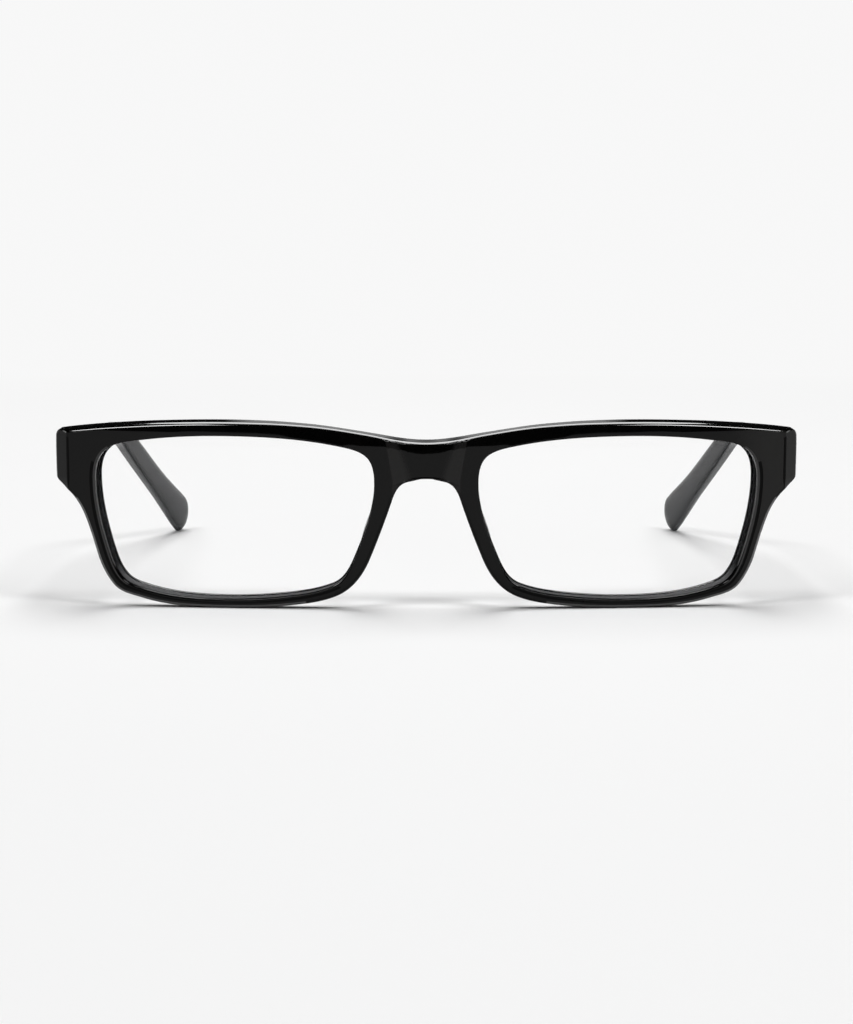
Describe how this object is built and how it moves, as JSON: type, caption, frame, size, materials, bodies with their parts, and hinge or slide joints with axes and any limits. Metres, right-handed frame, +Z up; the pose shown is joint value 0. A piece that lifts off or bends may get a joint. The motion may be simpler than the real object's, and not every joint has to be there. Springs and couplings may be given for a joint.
{
  "type": "horn-rimmed eyeglasses",
  "caption": "Horn-rimmed eyeglasses with a thick black acetate front, clear lenses, glued nose pads and wire-cored temples that fold on barrel hinges.",
  "frame": {"origin": "centre of the bounding box on the table, under the middle of the open glasses", "axes": "+X to the wearer's left, +Y from the front back along the temples, +Z up; the glasses stand open on the rims and the temple tips"},
  "size_m": [0.1366, 0.1432, 0.0347],
  "materials": {
    "front_acetate": "polished solid black acetate, mirror gloss with fine wiping marks",
    "temple_acetate": "tumbled solid black acetate, softer gloss than the front",
    "lens_clear": "clear uncoated plastic lens with a polished surface",
    "hinge_steel": "fine brushed nickel silver, with a slotted screw",
    "core_steel": "drawn wire, plain"
  },
  "bodies": {
    "front_body": {"front": "front_acetate", "nose_pad_left": "front_acetate", "nose_pad_right": "front_acetate", "lens_left": "lens_clear", "lens_right": "lens_clear", "front_hinge_left": "hinge_steel", "front_hinge_right": "hinge_steel", "hinge_screw_left": "hinge_steel", "hinge_screw_right": "hinge_steel"},
    "temple_left_body": {"temple_left": "temple_acetate", "temple_hinge_left": "hinge_steel", "core_wire_left": "core_steel"},
    "temple_right_body": {"temple_right": "temple_acetate", "temple_hinge_right": "hinge_steel", "core_wire_right": "core_steel"}
  },
  "joints": [
    {"name": "fold_left", "type": "hinge", "parent": "front_body", "child": "temple_left_body", "pos_m": [0.06236, -0.06043, 0.02839], "axis": [0, -0.0866, 0.9962], "range_deg": [0, 86]},
    {"name": "fold_right", "type": "hinge", "parent": "front_body", "child": "temple_right_body", "pos_m": [-0.06236, -0.06043, 0.02839], "axis": [0, 0.0866, -0.9962], "range_deg": [0, 78]}
  ]
}
